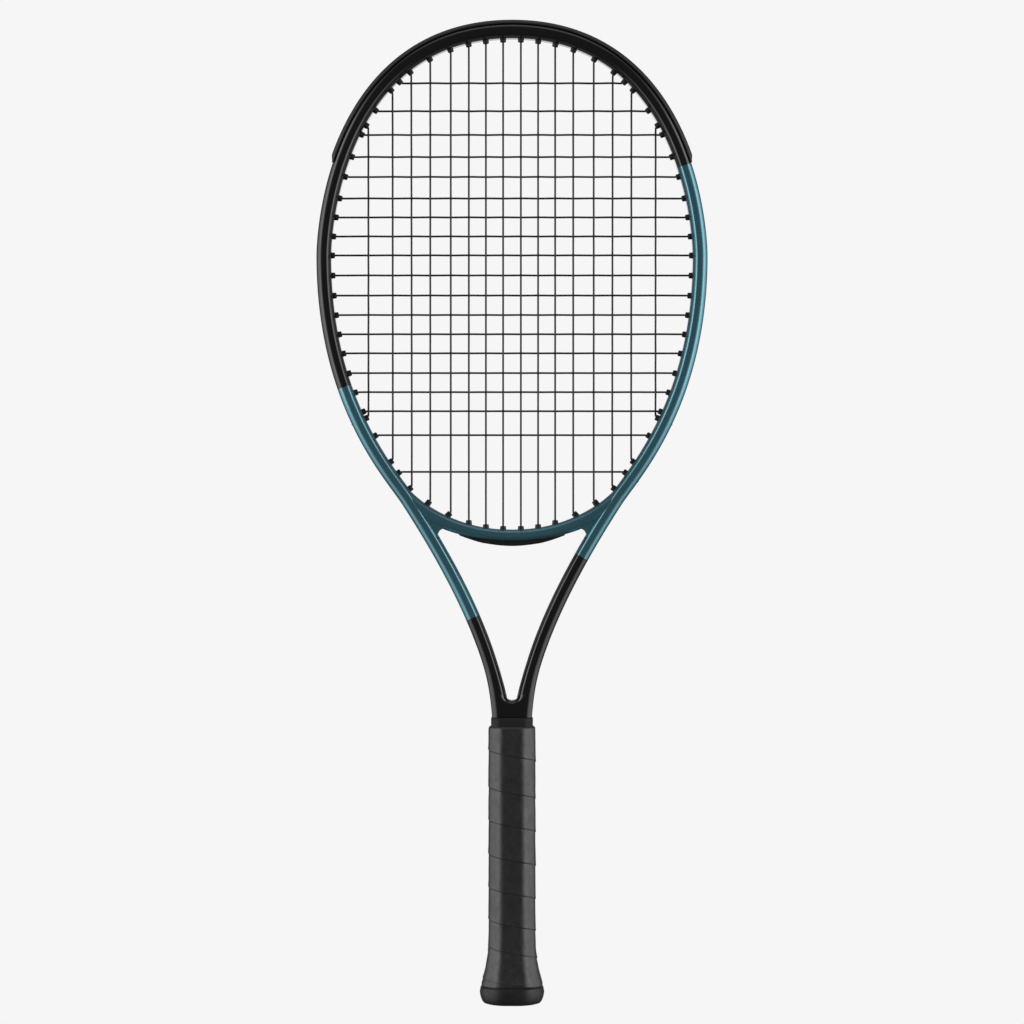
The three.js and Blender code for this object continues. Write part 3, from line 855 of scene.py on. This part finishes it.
# Heights of the wrap's seams at the left edge, and how far a seam drops across the front and the back.
SEAMS = [224.0, 200.4, 176.9, 151.1, 128.1, 104.4, 81.3, 59.0, 40.1, 18.5, -3.0, -24.0]
FRONT_DROP, BACK_DROP = 9.0, 14.8
TURN_HEIGHT = 24.0                  # a typical turn, for heights outside the list


def seam_phase(z, turn):
    """How far above the nearest seam below, as (millimetres above, height of this turn)."""
    drop = FRONT_DROP * turn * 2 if turn < 0.5 else FRONT_DROP + BACK_DROP * (turn - 0.5) * 2
    h = z + drop
    for high, low in zip(SEAMS, SEAMS[1:]):
        if low <= h < high:
            return h - low, high - low
    return 5.0, TURN_HEIGHT


def wrap_height(z, turn):
    """The wrap's surface: each turn's lower edge lies on the one below it."""
    above, pitch = seam_phase(z, turn)
    below = pitch - above
    lip = 0.5 * math.exp(-above / 3.6)
    step = smooth(0.0, 0.7, above)
    crease = -0.28 * math.exp(-((above - 0.1) / 0.45) ** 2) - 0.12 * math.exp(-below / 0.8)
    crown = 0.16 * math.sin(math.pi * above / pitch)
    return lip * step + crease + crown


def soft_noise(x, y, z, scale):
    return field.noise(Vector((x, y, z)) * scale)


GRIP_LOW, GRIP_TOP, GRIP_STEP, GRIP_AROUND = 12.3, 193.2, 0.4, 176
GRIP_SUNK = 0.35                    # how far the wrap lies inside the outline, before its lips rise
grip_outline = around(fillet(octagon(OCT_X, OCT_Y, OCT_C), [3.4] * 8, 8), GRIP_AROUND)
grip_rings = []
z = GRIP_LOW
while z <= GRIP_TOP + 1e-6:
    sx, sy = flare_scale(flare(z))
    ring = []
    top_round = 1.5 * (1 - math.sqrt(max(0.0, 1 - smooth(GRIP_TOP - 2.2, GRIP_TOP, z) ** 2)))
    low_round = 0.7 * (1 - smooth(GRIP_LOW, GRIP_LOW + 1.6, z))
    fade = 1 - smooth(GRIP_TOP - 4, GRIP_TOP - 0.5, z)
    for k, (x, y, nx, ny) in enumerate(grip_outline):
        turn = k / GRIP_AROUND
        d = wrap_height(z, turn) * fade - top_round - low_round - GRIP_SUNK
        d += 0.16 * soft_noise(x, y, z, 0.09) + 0.07 * soft_noise(x + 40, y, z * 0.6, 0.35)
        ring.append((x * sx + nx * d, y * sy + ny * d, z))
    grip_rings.append(ring)
    z += GRIP_STEP
verts, faces = loft(grip_rings)
grip = add_mesh("grip_wrap", verts, faces, [GRIP_MAT])
finish_piece(grip, "racket", ["base_grip"])


def collar_ring(z, inset):
    return [(x, y, z) for x, y in fillet(octagon(14.6 - inset, 12.7 - inset, 5.2), [1.6] * 8, 5)]


collar_profile = [(190, 0.4), (192.4, 0.1), (197.9, 0.0), (198.6, 0.12), (199.05, 0.5), (199.2, 1.1)]
collar_rings = [collar_ring(z, inset) for z, inset in collar_profile]
collar = add_mesh("collar", *loft(collar_rings), [COLLAR_MAT], weighted=True)
finish_piece(collar, "racket", ["handle_collar"])


# ---- butt cap and its door ----------------------------------------------------------------------------
cap_profile = [(12.1, 2.5), (12.3, 1.2), (12.0, 0.5), (11.2, 0.15), (8.0, 0.0), (5.0, 0.0), (3.0, 0.0),
               (1.5, 0.0), (0.5, 0.0), (0.0, 0.6)]
cap_rings = [oct_ring(z, inset, 5.0) for z, inset in cap_profile]
for z, inset in ((0.0, 5.0), (0.25, 5.35), (0.9, 5.45), (4.0, 5.5), (4.1, 3.0), (12.0, 3.0)):
    cap_rings.append(oct_ring(z, inset, 2.2, grow=0.0))
cap = add_mesh("butt_cap_body", *looped_loft(cap_rings), [CAP_MAT], weighted=True)
finish_piece(cap, "racket", ["butt_cap"])

door_profile = [(2.8, 9.0), (2.8, 6.2), (2.6, 5.95), (1.0, 5.95), (0.55, 6.3), (0.5, 7.6), (0.75, 7.8),
                (0.8, 8.4), (0.55, 8.7), (0.5, 11.0)]
door_rings = [oct_ring(z, inset, 2.0, grow=0.0) for z, inset in door_profile]


def door_tongue(x0):
    """One of the two tongues that grip the opening's edge, tapered at its tip."""
    box = fillet([(-0.8, -3.5), (0.8, -3.5), (0.8, 3.5), (-0.8, 3.5)], [0.3] * 4, 3)
    return loft([[(x0 + dx * k, y * k, z) for dx, y in box]
                 for z, k in ((2.4, 1.0), (5.2, 1.0), (5.6, 0.86), (5.8, 0.6))])


verts, faces = loft(door_rings)
door_parts = [(verts, flipped(faces)), door_tongue(-9.4), door_tongue(9.4)]
door = add_mesh("butt_door_panel", *merge(door_parts), [CAP_MAT], weighted=True)
finish_piece(door, "butt_door", ["butt_cap_door"])

# The pieces hidden inside the handle keep their CAD shapes.
for name, material in (("handle_pallet_front", FOAM_MAT), ("handle_pallet_back", FOAM_MAT),
                       ("butt_cap_staple_front", STEEL_MAT), ("butt_cap_staple_back", STEEL_MAT)):
    nodes[name].data.materials.clear()
    nodes[name].data.materials.append(material)

# ---- stage, light and camera ----------------------------------------------------------------------
BACKDROP = 0.922                # brightness of the plain pale surroundings
# Each light from the world: the direction's share at which it starts, at which it peaks, and its level.
SIDE_LIGHT = (0.62, 0.97, 1.15)
BACK_LIGHT = (0.93, 0.985, 0.85)
TOP_LIGHT = (0.7, 0.97, 0.55)
FORWARD_SHIFT = -0.25           # turns the side lights a little towards the front
AMBIENT = 0.10
scene.view_settings.view_transform = "Standard"
scene.view_settings.look = "None"


def studio_world():
    """Tall soft light from both sides, some from straight behind and above, and little elsewhere."""
    w = bpy.data.worlds.new("studio")
    w.use_nodes = True
    t = w.node_tree
    coords = add_node(t, "ShaderNodeTexCoord")
    split = add_node(t, "ShaderNodeSeparateXYZ")
    t.links.new(coords.outputs["Generated"], split.inputs[0])
    size = add_node(t, "ShaderNodeMath", operation="ABSOLUTE")
    t.links.new(split.outputs["X"], size.inputs[0])
    forward = add_node(t, "ShaderNodeMath", operation="MULTIPLY_ADD")
    forward.inputs[1].default_value = FORWARD_SHIFT
    t.links.new(split.outputs["Y"], forward.inputs[0])
    t.links.new(size.outputs[0], forward.inputs[2])

    def ramp(source, low, high, top):
        node = add_node(t, "ShaderNodeMapRange", interpolation_type="SMOOTHSTEP")
        node.inputs["From Min"].default_value = low
        node.inputs["From Max"].default_value = high
        node.inputs["To Min"].default_value = 0.0
        node.inputs["To Max"].default_value = top
        t.links.new(source, node.inputs["Value"])
        return node.outputs["Result"]

    def plus(a, b):
        node = add_node(t, "ShaderNodeMath", operation="ADD")
        t.links.new(a, node.inputs[0])
        if isinstance(b, float):
            node.inputs[1].default_value = b
        else:
            t.links.new(b, node.inputs[1])
        return node.outputs[0]

    side = ramp(forward.outputs[0], *SIDE_LIGHT)
    back = ramp(split.outputs["Y"], *BACK_LIGHT)
    top = ramp(split.outputs["Z"], *TOP_LIGHT)
    total = plus(plus(plus(side, back), top), AMBIENT)
    t.links.new(total, t.nodes["Background"].inputs["Strength"])
    t.nodes["Background"].inputs["Color"].default_value = (1, 1, 1, 1)
    return w


scene.world = studio_world()


def stage_piece(name, verts, faces, material):
    """A piece of the surroundings, which the camera sees and the racket doesn't reflect."""
    data = bpy.data.meshes.new(name)
    data.from_pydata(verts, [], faces)
    data.materials.append(material)
    obj = bpy.data.objects.new(name, data)
    scene.collection.objects.link(obj)
    obj.visible_glossy = False
    obj.visible_diffuse = False
    obj.visible_transmission = False
    return obj


FLOOR_R, DOME_R = 12.0, 14.0
FLOOR_Z = -0.4                  # well below the racket, which hangs clear of it
FLOOR_TONE = 0.02               # with the glow, this matches the floor to the backdrop
FLOOR_GLOW = BACKDROP * 0.991


def pale_floor():
    m, _, b = new_material("floor")
    b.inputs["Base Color"].default_value = (FLOOR_TONE, FLOOR_TONE, FLOOR_TONE, 1)
    b.inputs["Roughness"].default_value = 1.0
    b.inputs["Specular IOR Level"].default_value = 0.0
    b.inputs["Emission Color"].default_value = (1, 1, 1, 1)
    b.inputs["Emission Strength"].default_value = FLOOR_GLOW
    disc = [(FLOOR_R * math.cos(a), FLOOR_R * math.sin(a), FLOOR_Z) for a in turn_of(64)]
    stage_piece("floor", disc, [tuple(range(len(disc)))], m)


def backdrop_dome():
    """A pale room round everything, seen by the camera but adding no light."""
    m, t, _ = new_material("backdrop")
    glow = add_node(t, "ShaderNodeEmission", Strength=BACKDROP)
    t.links.new(glow.outputs[0], t.nodes["Material Output"].inputs["Surface"])
    bands, steps = 12, 48
    rings = []
    for e in (math.pi * (i / bands - 0.5) for i in range(1, bands)):
        r, z = DOME_R * math.cos(e), DOME_R * math.sin(e)
        rings.append([(r * math.cos(a), r * math.sin(a), z) for a in turn_of(steps)])
    verts, faces = loft(rings, closed_ends=False)
    faces += [tuple(range(steps)), tuple(range(len(verts) - steps, len(verts)))]
    stage_piece("backdrop", verts, faces, m).visible_shadow = False


pale_floor()
backdrop_dome()


SOFTBOX_X, SOFTBOX_Y, SOFTBOX_Z = 1.7, -0.7, 0.7
SOFTBOX_AIM = (0, 0, 0.35)
SOFTBOX_SIZE = (0.9, 1.8)
SOFTBOX_WATTS = 6


def softbox(name, side):
    light = bpy.data.lights.new(name, "AREA")
    light.shape = "RECTANGLE"
    light.size, light.size_y = SOFTBOX_SIZE
    light.energy = SOFTBOX_WATTS
    obj = bpy.data.objects.new(name, light)
    scene.collection.objects.link(obj)
    obj.location = (side * SOFTBOX_X, SOFTBOX_Y, SOFTBOX_Z)
    obj.rotation_euler = (Vector(SOFTBOX_AIM) - obj.location).to_track_quat("-Z", "Y").to_euler()


softbox("softbox_left", -1)
softbox("softbox_right", 1)

CAMERA_Y, CAMERA_Z = -2.15, 0.3422
FRAME_HEIGHT = 0.7143          # what the picture's height covers on the racket's plane
SENSOR = 36.0
cam = bpy.data.cameras.new("camera")
cam.sensor_width = SENSOR
cam.lens = SENSOR * -CAMERA_Y / FRAME_HEIGHT
cam.clip_end = 60
cam_obj = bpy.data.objects.new("camera", cam)
cam_obj.location = (0, CAMERA_Y, CAMERA_Z)
cam_obj.rotation_euler = (math.pi / 2, 0, 0)
scene.collection.objects.link(cam_obj)
scene.camera = cam_obj
